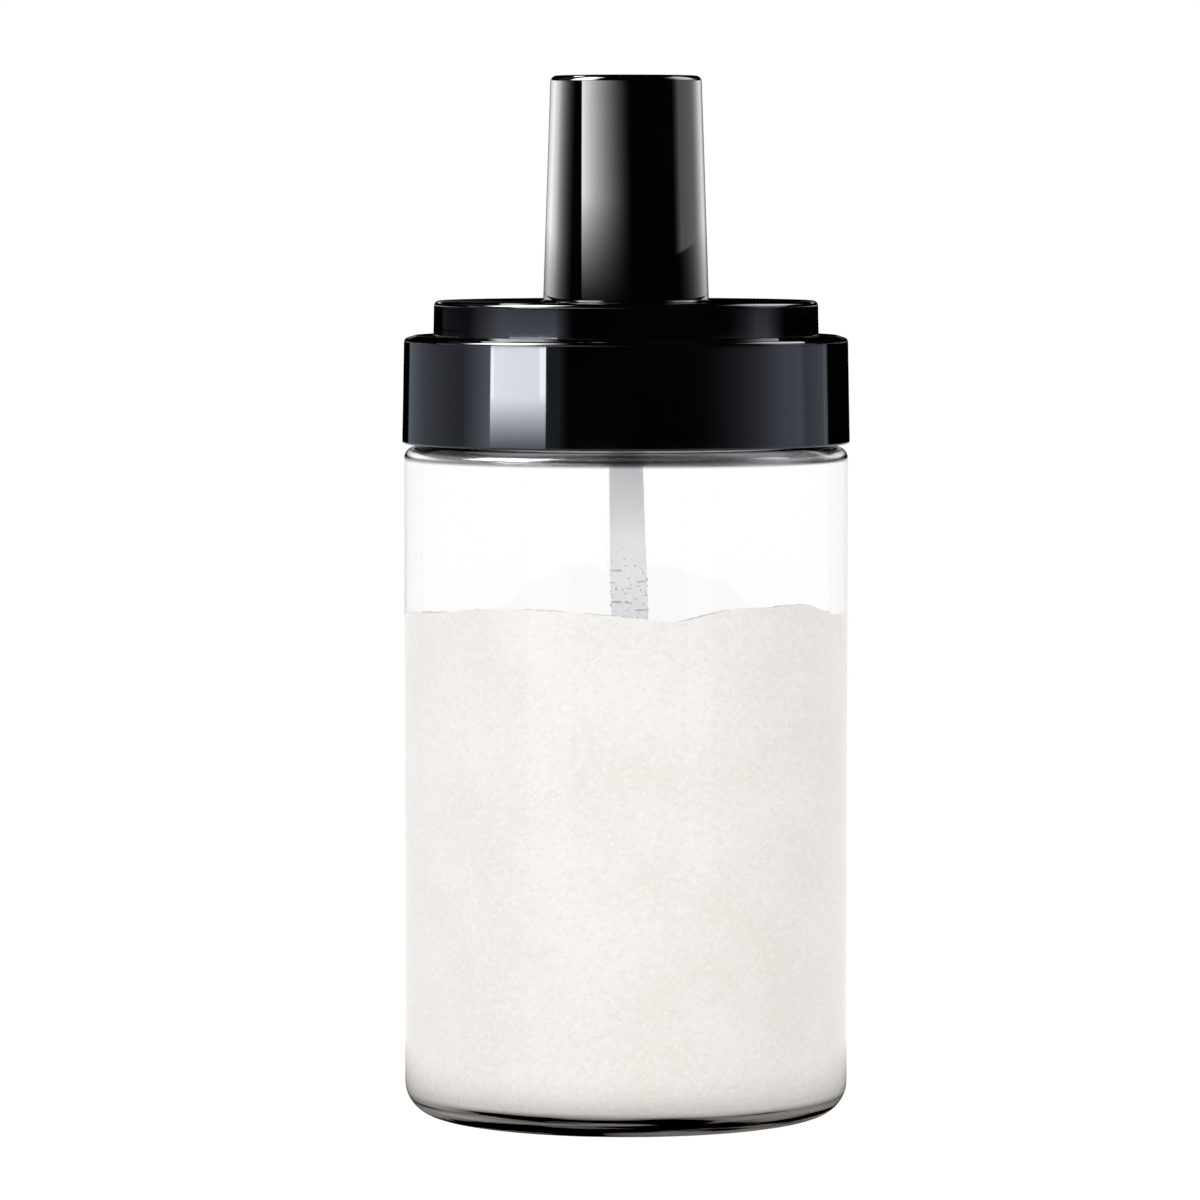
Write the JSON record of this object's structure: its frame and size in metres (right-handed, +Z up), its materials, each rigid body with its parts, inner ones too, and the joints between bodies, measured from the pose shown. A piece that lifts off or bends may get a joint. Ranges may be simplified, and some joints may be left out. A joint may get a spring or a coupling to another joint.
{
  "type": "spice jar",
  "caption": "Round clear glass spice jar with a glossy black screw ring and a lift-out cap whose tapered handle carries a long spoon down into the salt.",
  "frame": {"origin": "centre of the foot, on the surface that the jar stands on", "axes": "+Z up along the jar's axis, -Y towards the front of the picture, +X to the picture's right"},
  "size_m": [0.0702, 0.0702, 0.1633],
  "materials": {
    "clear_glass": "clear, fire polished",
    "salt": "matt fine grain, off-white",
    "silicone": "matt translucent white silicone",
    "satin_black": "satin moulded black",
    "gloss_black": "high gloss moulded black",
    "clear_plastic": "clear plastic with a frosted stem"
  },
  "bodies": {
    "jar": {"glass_jar": "clear_glass", "salt_fill": "salt"},
    "gasket": {"lip_gasket": "silicone"},
    "ring": {"ring_sleeve": "satin_black", "ring_shell": "gloss_black"},
    "seal": {"plug_seal": "silicone"},
    "cap": {"cap_liner": "satin_black", "cap_disc": "gloss_black", "handle_shell": "gloss_black", "spoon": "clear_plastic"}
  },
  "joints": [
    {"name": "ring_lift", "type": "slide", "parent": "jar", "child": "gasket", "axis": [0, 0, 1], "range_m": [0, 0.0042]},
    {"name": "ring_turn", "type": "hinge", "parent": "gasket", "child": "ring", "pos_m": [0, 0, 0.114], "axis": [0, 0, 1], "range_deg": [0, 360]},
    {"name": "cap_lift", "type": "slide", "parent": "ring", "child": "seal", "axis": [0, 0, 1], "range_m": [0, 0.12], "deforming": ["salt_fill"]},
    {"name": "cap_turn", "type": "hinge", "parent": "seal", "child": "cap", "pos_m": [0, 0, 0.125], "axis": [0, 0, 1], "continuous": true}
  ],
  "couplings": [
    {"joint": "ring_lift", "follows": "ring_turn", "m_per_rad": 0.00066845}
  ]
}
